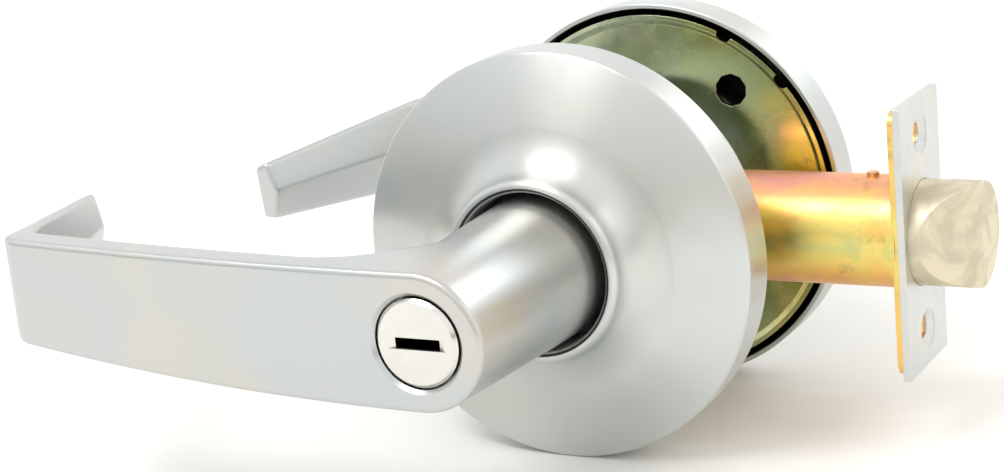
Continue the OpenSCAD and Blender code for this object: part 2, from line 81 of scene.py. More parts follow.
MM = 0.001
Point = tuple[float, float]
Tone = bpy.types.NodeSocket | tuple[float, float, float] | float
Array = np.ndarray
LOG = logging.getLogger("lockset")
BODY_OF = {
    node: body
    for body, nodes in frame["record"]["behaviour"]["bodies"].items()
    for node in nodes
}


# ---- places ----


def size_mm(node: str, corner: int, axis: int) -> float:
    """One coordinate of a node's box.

    Args:
        node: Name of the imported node.
        corner: 0 for the lowest corner and 1 for the highest.
        axis: 0, 1 or 2 for x, y or z.

    Returns:
        The coordinate in millimetres.
    """
    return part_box(node)[corner][axis] / MM


@dataclass(frozen=True)
class Door:
    """Where the two faces of the door are, and how the inside trim hangs."""

    half: float = size_mm("inside_rose", 0, 1)
    sag: float = 5.0


DOOR = Door()


class Side(Enum):
    """The three ways in which trim is placed on the door."""

    OUTSIDE = "outside"
    INSIDE = "inside"
    INSIDE_TURNED = "inside_turned"

    def matrix(self) -> Matrix:
        """Returns the matrix from the trim's own directions to the frame, in metres."""
        out = -1.0 if self is Side.OUTSIDE else 1.0
        place = Matrix(((1, 0, 0, 0), (0, 0, out, out * DOOR.half), (0, 1, 0, 0), (0, 0, 0, 1)))
        if self is Side.INSIDE_TURNED:
            place = Matrix.Rotation(math.radians(-DOOR.sag), 4, "Y") @ place
        return Matrix.Scale(MM, 4) @ place


def along_latch(start: float, height: float = 0.0) -> Matrix:
    """Returns the matrix that lays a piece drawn along z along the latch, from start."""
    place = Matrix.Translation((start, 0, height)) @ Matrix.Rotation(math.radians(90), 4, "Y")
    return Matrix.Scale(MM, 4) @ place


# ---- meshes ----


def object_from(name: str, points: Sequence, faces: Sequence, place: Matrix) -> bpy.types.Object:
    """Makes a mesh object at the origin with its place in its mesh.

    Args:
        name: Name of the new object.
        points: Vertex places in the piece's own directions.
        faces: Lists of vertex numbers.
        place: Matrix from those directions to the frame.

    Returns:
        The new object, with its faces turned outwards.
    """
    mesh = bpy.data.meshes.new(name)
    mesh.from_pydata([tuple(p) for p in points], [], [tuple(f) for f in faces])
    mesh.transform(place)
    thing = bpy.data.objects.new(name, mesh)
    bpy.context.scene.collection.objects.link(thing)
    weld(mesh)
    return thing


def weld(mesh: bpy.types.Mesh, gap: float = 1e-6, flat_angle: float = 0.0) -> None:
    """Joins points that lie together and turns the faces outwards.

    Args:
        mesh: The mesh to clean.
        gap: Distance, in metres, under which points are one.
        flat_angle: Degrees under which neighbouring faces are made one, or 0 to leave them.
    """
    work = bmesh.new()
    work.from_mesh(mesh)
    bmesh.ops.remove_doubles(work, verts=work.verts, dist=gap)
    if flat_angle:
        bmesh.ops.dissolve_limit(
            work, angle_limit=math.radians(flat_angle), verts=work.verts, edges=work.edges
        )
    bmesh.ops.recalc_face_normals(work, faces=work.faces)
    work.to_mesh(mesh)
    work.free()


def made_plain(thing: bpy.types.Object) -> bpy.types.Object:
    """Turns an object's modifiers into plain mesh and removes them.

    Args:
        thing: The object with modifiers.

    Returns:
        The same object.
    """
    bpy.context.view_layer.update()
    graph = bpy.context.evaluated_depsgraph_get()
    mesh = bpy.data.meshes.new_from_object(thing.evaluated_get(graph))
    thing.modifiers.clear()
    thing.data = mesh
    return thing


def smoothed(thing: bpy.types.Object, angle: float = 32.0) -> bpy.types.Object:
    """Shades an object smooth, with sharp edges where it bends by more than an angle."""
    thing.data.shade_smooth()
    thing.data.set_sharp_from_angle(angle=math.radians(angle))
    return thing


ROUNDED_FROM = 28
SHARP_FROM = 40
FLAT_FACES_FIRST = 100


def refined(node: str, edge: float, segments: int = 2, flat_angle: float = 0.6) -> bpy.types.Object:
    """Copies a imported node, rounds its edges and shades its flat faces evenly.

    Args:
        node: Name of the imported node.
        edge: Width of the rounding in millimetres.
        segments: Number of steps in the rounding.
        flat_angle: Degrees under which neighbouring faces are made one first.

    Returns:
        The new object, which is named after the node.
    """
    mesh = frame["nodes"][node].data.copy()
    mesh.materials.clear()
    weld(mesh, flat_angle=flat_angle)
    thing = bpy.data.objects.new(node + "_finished", mesh)
    bpy.context.scene.collection.objects.link(thing)
    bevel = thing.modifiers.new("edges", "BEVEL")
    bevel.width = edge * MM
    bevel.segments = segments
    bevel.limit_method = "ANGLE"
    bevel.angle_limit = math.radians(ROUNDED_FROM)
    bevel.miter_outer = "MITER_ARC"
    smoothed(made_plain(thing), SHARP_FROM)
    even = thing.modifiers.new("even", "WEIGHTED_NORMAL")
    even.keep_sharp = True
    even.weight = FLAT_FACES_FIRST
    return made_plain(thing)


def settle(
    thing: bpy.types.Object, material: bpy.types.Material, *nodes: str, rides: bool = True
) -> bpy.types.Object:
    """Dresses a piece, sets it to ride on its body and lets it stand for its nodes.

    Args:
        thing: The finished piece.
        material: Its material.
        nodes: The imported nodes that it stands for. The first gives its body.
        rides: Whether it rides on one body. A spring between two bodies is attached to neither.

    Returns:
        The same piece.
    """
    thing.data.materials.clear()
    thing.data.materials.append(material)
    if rides:
        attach(thing, BODY_OF[nodes[0]])
    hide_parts(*nodes)
    LOG.info("%s: %d faces", thing.name, len(thing.data.polygons))
    return thing


def repaint(
    thing: bpy.types.Object, material: bpy.types.Material, chosen: Callable[[Vector, Vector], bool]
) -> None:
    """Gives some faces of a piece a second material.

    Args:
        thing: The piece.
        material: The second material.
        chosen: Says, from a face's centre and normal, whether it gets that material.
    """
    thing.data.materials.append(material)
    for face in thing.data.polygons:
        if chosen(face.center, face.normal):
            face.material_index = len(thing.data.materials) - 1


# ---- solids given by a rule ----


def round_max(a: Array, b: Array, r: float | Array) -> Array:
    """Where both fields are inside, with the edge between them rounded by r."""
    corner = np.hypot(np.maximum(a + r, 0), np.maximum(b + r, 0))
    return np.minimum(-r, np.maximum(a, b)) + corner


def round_min(a: Array, b: Array, r: float | Array) -> Array:
    """Where either field is inside, with the hollow between them filled by radius r."""
    corner = np.hypot(np.maximum(r - a, 0), np.maximum(r - b, 0))
    return np.maximum(r, np.minimum(a, b)) - corner


@dataclass(frozen=True)
class SolidMesher:
    """Turns a field that is negative inside a solid into a mesh of quads."""

    low: tuple[float, float, float]
    high: tuple[float, float, float]
    step: float
    settle_rounds: int = 4

    def mesh(self, rule: Callable[[Array, Array, Array], Array]) -> tuple[Array, Array]:
        """Finds the surface where the field is zero.

        Args:
            rule: The field as a function of three arrays.

        Returns:
            The places of the vertices, and four vertex numbers for each face.
        """
        axes = [np.arange(a, b + self.step, self.step) for a, b in zip(self.low, self.high)]
        grid = np.meshgrid(*axes, indexing="ij")
        value = rule(*grid)
        inside = value < 0
        cells = tuple(n - 1 for n in value.shape)
        total = np.zeros(cells + (3,))
        count = np.zeros(cells)
        crossings = []
        for axis in range(3):
            near = [slice(None)] * 3
            far = [slice(None)] * 3
            near[axis] = slice(None, -1)
            far[axis] = slice(1, None)
            near, far = tuple(near), tuple(far)
            crossed = inside[near] != inside[far]
            gap = np.where(crossed, value[near] - value[far], 1.0)
            share = np.where(crossed, value[near] / gap, 0.0)
            place = [g[near] for g in grid]
            place[axis] = place[axis] + share * self.step
            others = [a for a in range(3) if a != axis]
            for u in (0, 1):
                for v in (0, 1):
                    window = [slice(None)] * 3
                    window[others[0]] = slice(u, cells[others[0]] + u)
                    window[others[1]] = slice(v, cells[others[1]] + v)
                    part = crossed[tuple(window)]
                    count += part
                    for k in range(3):
                        total[..., k] += np.where(part, place[k][tuple(window)], 0.0)
            crossings.append((axis, others, crossed, inside[near]))
        used = count > 0
        number = -np.ones(cells, int)
        number[used] = np.arange(used.sum())
        points = total[used] / count[used][:, None]
        faces = np.concatenate([self._faces(number, *c) for c in crossings])
        return self._settled(points, rule), faces

    @staticmethod
    def _faces(number: Array, axis: int, others: list[int], crossed: Array, inner: Array) -> Array:
        """Returns a quad round each grid edge along one axis that the surface crosses."""
        window = [slice(None)] * 3
        window[others[0]] = slice(1, -1)
        window[others[1]] = slice(1, -1)
        at = np.argwhere(crossed[tuple(window)])
        at[:, others[0]] += 1
        at[:, others[1]] += 1
        ring = []
        for u, v in ((1, 1), (0, 1), (0, 0), (1, 0)):
            cell = at.copy()
            cell[:, others[0]] -= u
            cell[:, others[1]] -= v
            ring.append(number[cell[:, 0], cell[:, 1], cell[:, 2]])
        quads = np.stack(ring, axis=1)
        flip = inner[at[:, 0], at[:, 1], at[:, 2]] == (axis == 1)
        quads[flip] = quads[flip][:, ::-1]
        return quads

    def _settled(self, points: Array, rule: Callable[[Array, Array, Array], Array]) -> Array:
        """Returns the points moved on to the exact surface."""
        start = points.copy()
        h = self.step * 0.05
        for _ in range(self.settle_rounds):
            value = rule(*points.T)
            slope = np.stack(
                [(rule(*(points + d).T) - rule(*(points - d).T)) / (2 * h) for d in np.eye(3) * h],
                axis=1,
            )
            size = np.maximum((slope**2).sum(axis=1), 0.2)
            points = points - slope * (value / size)[:, None]
        moved = points - start
        length = np.linalg.norm(moved, axis=1)
        limit = np.minimum(1.0, 0.7 * self.step / np.maximum(length, 1e-9))
        return start + moved * limit[:, None]


def lathe_points(profile: Sequence[Point], segments: int) -> tuple[list, list]:
    """Turns a closed profile round the z axis.

    Args:
        profile: Radius and height of each point, in order round the section.
        segments: Number of steps round the axis.

    Returns:
        The points and the faces.
    """
    count = len(profile)
    points = []
    for i in range(segments):
        a = math.tau * i / segments
        points += [(r * math.cos(a), r * math.sin(a), z) for r, z in profile]
    faces = []
    for i in range(segments):
        j = (i + 1) % segments
        for k in range(count):
            m = (k + 1) % count
            faces.append((i * count + k, j * count + k, j * count + m, i * count + m))
    return points, faces


# ---- levers ----


@dataclass(frozen=True)
class LeverShape:
    """The cast lever: a tapering shank, a flat grip and a return that is bent towards the door."""

    front: float = -size_mm("outside_lever", 0, 1) - DOOR.half
    shank_end: float = -size_mm("outside_lever", 1, 1) - DOOR.half
    reach: float = -size_mm("outside_lever", 0, 0)
    bend: float = 97.5
    return_gap: float = 12.7
    shank_r: float = 15.9
    front_r: float = 13.8
    bend_top: float = 16.2
    bend_bottom: float = 6.2
    end_top: float = 10.0
    end_bottom: float = 3.3
    grip_t: float = 6.2
    bend_t: float = 5.6
    end_t: float = 3.6
    ridge: float = 1.7
    ridge_share: float = 0.52
    bend_r: float = 3.2
    blend_r: float = 16.0
    edge_r: float = 1.0
    bore_r: float = 9.59
    bore_top: float = 50.0
    step: float = 0.5

    def edges(self, x: Array) -> tuple[Array, Array]:
        """Returns the heights of the top and bottom edges at a distance x from the axis."""
        d = np.maximum(-x, 0.0)
        grip = np.minimum(d / self.bend, 1.0)
        end = np.clip((d - self.bend) / (self.reach - self.bend), 0.0, 1.2)
        top = self.front_r + (self.bend_top - self.front_r) * grip**2
        bottom = self.front_r - (self.front_r - self.bend_bottom) * grip**2
        return (
            top + (self.end_top - self.bend_top) * end,
            -bottom + (self.bend_bottom - self.end_bottom) * end,
        )

    def rule(self, x: Array, y: Array, z: Array) -> Array:
        """The field of the solid lever, negative inside."""
        drop = self.front - self.return_gap
        run = self.reach - self.bend
        length = math.hypot(drop, run)
        ahead = z - self.front
        beyond = (-drop * (x + self.bend) + run * ahead) / length
        outer = round_max(ahead, beyond, self.bend_r)
        depth = np.maximum(-outer, 0.0)
        top, bottom = self.edges(x)
        height = np.clip((top - y) / (top - bottom), 0.0, 1.0)
        up = (height - self.ridge_share) / np.where(
            height < self.ridge_share, self.ridge_share, 1 - self.ridge_share
        )
        crest = self.ridge * (1.05 - np.sqrt(up**2 + 0.0025))
        along = np.clip((self.front - z) / drop, 0.0, 1.0)
        grip_t = self.grip_t + crest
        end_t = self.bend_t + (self.end_t - self.bend_t) * along + crest
        back = -round_max(ahead + grip_t, beyond + end_t, 2.5)
        draft = (self.shank_r - self.front_r) / (self.front - self.shank_end)
        radius = np.hypot(x, y)
        cone = radius - self.shank_r + draft * (z - self.shank_end)
        hub = radius - self.front_r
        tall = np.maximum(y - top, bottom - y)
        outline = np.where(x < 0, tall, hub) - draft * depth
        body = round_min(cone, back, self.blend_r)
        rear_r = 1.0 * np.clip((-x - 16.0) / 12.0, 1e-3, 1.0)
        body = round_max(body, outline, rear_r)
        body = np.minimum(body, cone)
        body = round_max(body, self.return_gap - z, 0.9)
        body = np.maximum(body, self.shank_end - z)
        return round_max(body, outer, self.edge_r)

    def solid(self, name: str, side: Side) -> bpy.types.Object:
        """Builds the lever without its holes.

        Args:
            name: Name of the new object.
            side: Where the lever goes.

        Returns:
            The new object.
        """
        low = (-self.reach - 2, -self.front_r - 3, self.shank_end - 1)
        high = (self.shank_r + 2, self.bend_top + 3, self.front + 1)
        points, faces = SolidMesher(low, high, self.step).mesh(self.rule)
        return object_from(name, points, faces, side.matrix())


# ---- geometry trees ----


def add(tree: bpy.types.NodeTree, kind: str, inputs: dict | None = None, **settings) -> bpy.types.Node:
    """Adds a node and fills its inputs.

    Args:
        tree: The tree that gets the node.
        kind: Type of the node.
        inputs: Values or sockets, by the name or number of the input.
        **settings: Other settings of the node.

    Returns:
        The new node.
    """
    new = tree.nodes.new(kind)
    for key, value in settings.items():
        setattr(new, key, value)
    for key, value in (inputs or {}).items():
        if isinstance(value, bpy.types.NodeSocket):
            tree.links.new(value, new.inputs[key])
        else:
            new.inputs[key].default_value = value
    return new


def math_node(tree: bpy.types.NodeTree, operation: str, *values) -> bpy.types.NodeSocket:
    """Adds a Math node and returns its result."""
    return add(tree, "ShaderNodeMath", dict(enumerate(values)), operation=operation).outputs[0]


def new_tree(name: str, kind: str, inputs: dict[str, tuple], outputs: dict[str, str]) -> tuple:
    """Makes a node group with named sockets.

    Args:
        name: Name of the group.
        kind: Type of the tree.
        inputs: Socket type and default value of each input.
        outputs: Socket type of each output.

    Returns:
        The tree, its input node and its output node.
    """
    tree = bpy.data.node_groups.new(name, kind)
    for key, (socket, default) in inputs.items():
        made = tree.interface.new_socket(key, in_out="INPUT", socket_type=socket)
        if default is not None:
            made.default_value = default
    for key, socket in outputs.items():
        tree.interface.new_socket(key, in_out="OUTPUT", socket_type=socket)
    return tree, tree.nodes.new("NodeGroupInput"), tree.nodes.new("NodeGroupOutput")


def finish_tree(
    tree: bpy.types.NodeTree, shape: bpy.types.NodeSocket, source: bpy.types.Node, target: bpy.types.Node
) -> None:
    """Ends a geometry tree in Realize Instances and Set Material."""
    real = add(tree, "GeometryNodeRealizeInstances", {"Geometry": shape})
    values = {"Geometry": real.outputs[0], "Material": source.outputs["Material"]}
    dressed = add(tree, "GeometryNodeSetMaterial", values)
    tree.links.new(dressed.outputs[0], target.inputs["Geometry"])


def lathe_tree() -> bpy.types.NodeTree:
    """Builds the tree that turns a closed profile round z and can cut a thread into it.

    Returns:
        The tree. Its geometry input is a row of points whose x is a radius and whose y is a height.
    """
    sockets = {
        "Geometry": ("NodeSocketGeometry", None),
        "Segments": ("NodeSocketInt", 96),
        "Pitch": ("NodeSocketFloat", 1.0),
        "Depth": ("NodeSocketFloat", 0.0),
        "Thread Radius": ("NodeSocketFloat", 0.0),
        "Material": ("NodeSocketMaterial", None),
    }
    tree, source, target = new_tree(
        "turned_profile", "GeometryNodeTree", sockets, {"Geometry": "NodeSocketGeometry"}
    )
    count = add(tree, "GeometryNodeAttributeDomainSize", {0: source.outputs["Geometry"]}).outputs[0]
    across = math_node(tree, "ADD", source.outputs["Segments"], 1)
    along = math_node(tree, "ADD", count, 1)
    grid = add(
        tree,
        "GeometryNodeMeshGrid",
        {"Size X": source.outputs["Segments"], "Size Y": count, "Vertices X": across, "Vertices Y": along},
    )
    place = add(tree, "GeometryNodeInputPosition").outputs[0]
    spot = add(tree, "ShaderNodeSeparateXYZ", {0: place})
    half_x = math_node(tree, "MULTIPLY", source.outputs["Segments"], 0.5)
    half_y = math_node(tree, "MULTIPLY", count, 0.5)
    column = math_node(tree, "ADD", spot.outputs[0], half_x)
    row = math_node(tree, "ROUND", math_node(tree, "ADD", spot.outputs[1], half_y))
    turn = math_node(tree, "DIVIDE", math_node(tree, "ROUND", column), source.outputs["Segments"])
    sample = add(
        tree,
        "GeometryNodeSampleIndex",
        {
            "Geometry": source.outputs["Geometry"],
            "Value": place,
            "Index": math_node(tree, "MODULO", row, count),
        },
        data_type="FLOAT_VECTOR",
        domain="POINT",
    )
    profile = add(tree, "ShaderNodeSeparateXYZ", {0: sample.outputs[0]})
    radius, height = profile.outputs[0], profile.outputs[1]
    wave = math_node(tree, "SUBTRACT", math_node(tree, "DIVIDE", height, source.outputs["Pitch"]), turn)
    groove = math_node(tree, "MULTIPLY", math_node(tree, "PINGPONG", wave, 0.5), 2.0)
    threaded = math_node(tree, "COMPARE", radius, source.outputs["Thread Radius"], 0.005)
    cut = math_node(tree, "MULTIPLY", math_node(tree, "MULTIPLY", groove, source.outputs["Depth"]), threaded)
    radius = math_node(tree, "SUBTRACT", radius, cut)
    angle = math_node(tree, "MULTIPLY", turn, math.tau)
    x = math_node(tree, "MULTIPLY", radius, math_node(tree, "COSINE", angle))
    y = math_node(tree, "MULTIPLY", radius, math_node(tree, "SINE", angle))
    moved = add(tree, "ShaderNodeCombineXYZ", {0: x, 1: y, 2: height})
    shape = add(tree, "GeometryNodeSetPosition", {"Geometry": grid.outputs[0], "Position": moved.outputs[0]})
    joined = add(tree, "GeometryNodeMergeByDistance", {"Geometry": shape.outputs[0], "Distance": 1e-4})
    finish_tree(tree, joined.outputs[0], source, target)
    return tree


def coil_tree() -> bpy.types.NodeTree:
    """Builds the tree that winds wire into a helix.

    Returns:
        The tree. The wire's centre line starts on the x axis and rises along z.
    """
    sockets = {
        "Geometry": ("NodeSocketGeometry", None),
        "Radius": ("NodeSocketFloat", 5.0),
        "Wire": ("NodeSocketFloat", 1.0),
        "Turns": ("NodeSocketFloat", 4.0),
        "Rise": ("NodeSocketFloat", 10.0),
        "Clockwise": ("NodeSocketBool", False),
        "Sides": ("NodeSocketInt", 10),
        "Material": ("NodeSocketMaterial", None),
    }
    tree, source, target = new_tree(
        "wound_wire", "GeometryNodeTree", sockets, {"Geometry": "NodeSocketGeometry"}
    )
    line = add(
        tree,
        "GeometryNodeCurveSpiral",
        {
            "Resolution": 32,
            "Rotations": source.outputs["Turns"],
            "Start Radius": source.outputs["Radius"],
            "End Radius": source.outputs["Radius"],
            "Height": source.outputs["Rise"],
            "Reverse": source.outputs["Clockwise"],
        },
    )
    thin = math_node(tree, "MULTIPLY", source.outputs["Wire"], 0.5)
    ring = add(
        tree,
        "GeometryNodeCurvePrimitiveCircle",
        {"Resolution": source.outputs["Sides"], "Radius": thin},
        mode="RADIUS",
    )
    tube = add(
        tree,
        "GeometryNodeCurveToMesh",
        {"Curve": line.outputs[0], "Profile Curve": ring.outputs[0], "Fill Caps": True},
    )
    finish_tree(tree, tube.outputs[0], source, target)
    return tree


def grown(
    name: str,
    tree: bpy.types.NodeTree,
    values: dict[str, object],
    place: Matrix,
    points: Sequence[Point] = (),
) -> bpy.types.Object:
    """Runs a geometry tree and keeps its result as a plain mesh.

    Args:
        name: Name of the new object.
        tree: The tree to run.
        values: Value of each named input.
        place: Matrix from the piece's own directions to the frame.
        points: Points that the tree starts from.

    Returns:
        The new object, at the origin.
    """
    mesh = bpy.data.meshes.new(name)
    mesh.from_pydata([(x, y, 0.0) for x, y in points], [], [])
    thing = bpy.data.objects.new(name, mesh)
    bpy.context.scene.collection.objects.link(thing)
    modifier = thing.modifiers.new("rule", "NODES")
    modifier.node_group = tree
    for item in tree.interface.items_tree:
        if item.in_out == "INPUT" and item.name in values:
            modifier[item.identifier] = values[item.name]
    made_plain(thing)
    thing.data.transform(place)
    weld(thing.data)
    return thing


def joined(things: list[bpy.types.Object]) -> bpy.types.Object:
    """Joins objects that sit at the origin into the first and returns it."""
    work = bmesh.new()
    for thing in things:
        work.from_mesh(thing.data)
    work.to_mesh(things[0].data)
    work.free()
    for thing in things[1:]:
        bpy.data.objects.remove(thing)
    return things[0]


def arc(x: float, y: float, r: float, start: float, end: float, steps: int) -> list[Point]:
    """Returns points of an arc round (x, y), with angles in degrees."""
    angles = [math.radians(start + (end - start) * i / steps) for i in range(steps + 1)]
    return [(x + r * math.cos(a), y + r * math.sin(a)) for a in angles]


# ---- finishes ----


class Brushing(Enum):
    """The direction that a finish is brushed in."""

    LENGTHWISE = "lengthwise"
    ROUND = "round"
    UPRIGHT = "upright"
    NONE = "none"


def grain_group() -> bpy.types.NodeTree:
    """Builds the group that gives fine scratches drawn out along one direction.

    Returns:
        The group. Stretch holds the number of scratches per metre along each axis.
    """
    sockets = {
        "Vector": ("NodeSocketVector", None),
        "Stretch": ("NodeSocketVector", (60.0, 900.0, 1800.0)),
    }
    outputs = {"Height": "NodeSocketFloat"}
    tree, source, target = new_tree("brushed_grain", "ShaderNodeTree", sockets, outputs)
    drawn = add(
        tree,
        "ShaderNodeVectorMath",
        {0: source.outputs["Vector"], 1: source.outputs["Stretch"]},
        operation="MULTIPLY",
    )
    fine = add(
        tree,
        "ShaderNodeTexNoise",
        {"Vector": drawn.outputs[0], "Scale": 1.0, "Detail": 4.0, "Roughness": 0.65},
    )
    tree.links.new(fine.outputs[0], target.inputs["Height"])
    return tree


def round_group() -> bpy.types.NodeTree:
    """Builds the group that turns a place into radius, cosine and sine about the spindle axis.

    Returns:
        The group. Its Around output is a vector that brushes run round in.
    """
    sockets = {"Vector": ("NodeSocketVector", None)}
    outputs = {"Around": "NodeSocketVector", "Outwards": "NodeSocketVector", "Radius": "NodeSocketFloat"}
    tree, source, target = new_tree("round_the_spindle", "ShaderNodeTree", sockets, outputs)
    spot = add(tree, "ShaderNodeSeparateXYZ", {0: source.outputs["Vector"]})
    flat = add(tree, "ShaderNodeCombineXYZ", {0: spot.outputs[0], 2: spot.outputs[2]})
    radius = add(tree, "ShaderNodeVectorMath", {0: flat.outputs[0]}, operation="LENGTH").outputs[1]
    unit = add(tree, "ShaderNodeVectorMath", {0: flat.outputs[0]}, operation="NORMALIZE").outputs[0]
    parts = add(tree, "ShaderNodeSeparateXYZ", {0: unit})
    depth = math_node(tree, "ADD", radius, spot.outputs[1])
    around = add(tree, "ShaderNodeCombineXYZ", {0: depth, 1: parts.outputs[0], 2: parts.outputs[2]})
    tree.links.new(around.outputs[0], target.inputs["Around"])
    tree.links.new(unit, target.inputs["Outwards"])
    tree.links.new(radius, target.inputs["Radius"])
    return tree


def smudge_group() -> bpy.types.NodeTree:
    """Builds the group that gives soft patches, for handling marks and uneven plating.

    Returns:
        The group. Its Mask runs from 0 to 1.
    """
    sockets = {
        "Vector": ("NodeSocketVector", None),
        "Scale": ("NodeSocketFloat", 40.0),
        "Low": ("NodeSocketFloat", 0.4),
        "High": ("NodeSocketFloat", 0.65),
    }
    tree, source, target = new_tree("smudges", "ShaderNodeTree", sockets, {"Mask": "NodeSocketFloat"})
    cloud = add(
        tree,
        "ShaderNodeTexNoise",
        {
            "Vector": source.outputs["Vector"],
            "Scale": source.outputs["Scale"],
            "Detail": 3.0,
            "Roughness": 0.55,
            "Distortion": 0.6,
        },
    )
    mask = add(
        tree,
        "ShaderNodeMapRange",
        {0: cloud.outputs[0], 1: source.outputs["Low"], 2: source.outputs["High"]},
        interpolation_type="SMOOTHSTEP",
    )
    tree.links.new(mask.outputs[0], target.inputs["Mask"])
    return tree


def film_group() -> bpy.types.NodeTree:
    """Builds the group that gives the rainbow colours of yellow dichromate.

    Returns:
        The group. Phase slides the colours, and Spread says how far the patches shift them.
    """
    sockets = {
        "Vector": ("NodeSocketVector", None),
        "Phase": ("NodeSocketFloat", 0.5),
        "Spread": ("NodeSocketFloat", 0.6),
        "Scale": ("NodeSocketFloat", 30.0),
    }
    outputs = {"Color": "NodeSocketColor", "Stain": "NodeSocketFloat"}
    tree, source, target = new_tree("dichromate_film", "ShaderNodeTree", sockets, outputs)
    cloud = add(
        tree,
        "ShaderNodeTexNoise",
        {
            "Vector": source.outputs["Vector"],
            "Scale": source.outputs["Scale"],
            "Detail": 5.0,
            "Roughness": 0.6,
            "Distortion": 1.4,
        },
    )
    shift = math_node(
        tree, "MULTIPLY", math_node(tree, "SUBTRACT", cloud.outputs[0], 0.5), source.outputs["Spread"]
    )
    phase = math_node(tree, "ADD", source.outputs["Phase"], shift)
    ramp = add(tree, "ShaderNodeValToRGB", {0: phase})
    colors = (
        (0.00, (0.80, 0.30, 0.30)),
        (0.14, (0.88, 0.42, 0.20)),
        (0.28, (0.95, 0.58, 0.14)),
        (0.42, (0.88, 0.70, 0.18)),
        (0.56, (0.58, 0.60, 0.22)),
        (0.70, (0.46, 0.54, 0.34)),
        (0.84, (0.62, 0.58, 0.46)),
        (1.00, (0.78, 0.46, 0.44)),
    )
    paint_ramp(ramp, colors)
    stains = add(
        tree,
        "ShaderNodeTexNoise",
        {"Vector": source.outputs["Vector"], "Scale": 140.0, "Detail": 6.0, "Roughness": 0.7},
    )
    stain = add(
        tree,
        "ShaderNodeMapRange",
        {0: stains.outputs[0], 1: 0.56, 2: 0.72},
        interpolation_type="SMOOTHSTEP",
    )
    tree.links.new(ramp.outputs[0], target.inputs["Color"])
    tree.links.new(stain.outputs[0], target.inputs["Stain"])
    return tree


def paint_ramp(ramp: bpy.types.Node, colors: Sequence[tuple[float, tuple[float, float, float]]]) -> None:
    """Sets the stops of a color ramp."""
    stops = ramp.color_ramp.elements
    while len(stops) < len(colors):
        stops.new(1.0)
    for stop, (place, color) in zip(stops, colors):
        stop.position = place
        stop.color = (*color, 1.0)


@dataclass
class Groups:
    """The shader groups, each built once."""

    grain: bpy.types.NodeTree = field(default_factory=grain_group)
    around: bpy.types.NodeTree = field(default_factory=round_group)
    smudges: bpy.types.NodeTree = field(default_factory=smudge_group)
    film: bpy.types.NodeTree = field(default_factory=film_group)


def use(tree: bpy.types.NodeTree, group: bpy.types.NodeTree, inputs: dict) -> bpy.types.Node:
    """Places a group in a material and returns its node."""
    node = add(tree, "ShaderNodeGroup", node_tree=group)
    for key, value in inputs.items():
        if isinstance(value, bpy.types.NodeSocket):
            tree.links.new(value, node.inputs[key])
        else:
            node.inputs[key].default_value = value
    return node


def blend_color(
    tree: bpy.types.NodeTree, share: Tone, first: Tone, second: Tone, mode: str = "MIX"
) -> bpy.types.NodeSocket:
    """Mixes two colors, each a socket or three numbers, and returns the result."""
    mix = add(tree, "ShaderNodeMix", data_type="RGBA", blend_type=mode)
    for key, value in ((0, share), (6, first), (7, second)):
        if isinstance(value, bpy.types.NodeSocket):
            tree.links.new(value, mix.inputs[key])
        else:
            mix.inputs[key].default_value = (*value, 1.0) if isinstance(value, tuple) else value
    return mix.outputs[2]


@dataclass(frozen=True)
class Metal:
    """A bare or plated metal, with its grain, its patches and its roughness."""

    name: str
    color: tuple[float, float, float]
    tint: tuple[float, float, float]
    rough: float
    rough_spread: float = 0.06
    brushing: Brushing = Brushing.NONE
    stretch: tuple[float, float, float] = (500.0, 500.0, 500.0)
    bump: float = 0.1
    bump_depth: float = 0.00002
    patch_scale: float = 40.0
    anisotropy: float = 0.0

    def start(self) -> tuple:
        """Makes the material.

        Returns:
            The material, its tree, its surface shader and the place socket.
        """
        material = bpy.data.materials.new(self.name)
        material.use_nodes = True
        tree = material.node_tree
        surface = tree.nodes["Principled BSDF"]
        surface.inputs["Metallic"].default_value = 1.0
        surface.inputs["Anisotropic"].default_value = self.anisotropy
        place = add(tree, "ShaderNodeTexCoord").outputs["Object"]
        return material, tree, surface, place

    def base(
        self, tree: bpy.types.NodeTree, groups: Groups, place: bpy.types.NodeSocket
    ) -> bpy.types.NodeSocket:
        """Returns the base color of the metal with its patches."""
        patch = use(tree, groups.smudges, {"Vector": place, "Scale": self.patch_scale})
        return blend_color(tree, patch.outputs[0], self.color, self.tint)

    def build(self, groups: Groups) -> bpy.types.Material:
        """Builds the finish.

        Args:
            groups: The shader groups that it shares with other finishes.

        Returns:
            The material.
        """
        material, tree, surface, place = self.start()
        lines = place
        if self.brushing is Brushing.ROUND:
            spin = use(tree, groups.around, {"Vector": place})
            lines = spin.outputs["Around"]
            tree.links.new(spin.outputs["Outwards"], surface.inputs["Tangent"])
        grain = use(tree, groups.grain, {"Vector": lines, "Stretch": self.stretch}).outputs[0]
        tree.links.new(self.base(tree, groups, place), surface.inputs["Base Color"])
        marks = use(tree, groups.smudges, {"Vector": place, "Scale": 2.2 * self.patch_scale}).outputs[0]
        wear = math_node(tree, "MULTIPLY", math_node(tree, "ADD", marks, grain), self.rough_spread)
        rough = math_node(tree, "ADD", wear, self.rough - self.rough_spread)
        tree.links.new(rough, surface.inputs["Roughness"])
        bump = add(
            tree, "ShaderNodeBump", {"Height": grain, "Strength": self.bump, "Distance": self.bump_depth}
        )
        tree.links.new(bump.outputs[0], surface.inputs["Normal"])
        return material


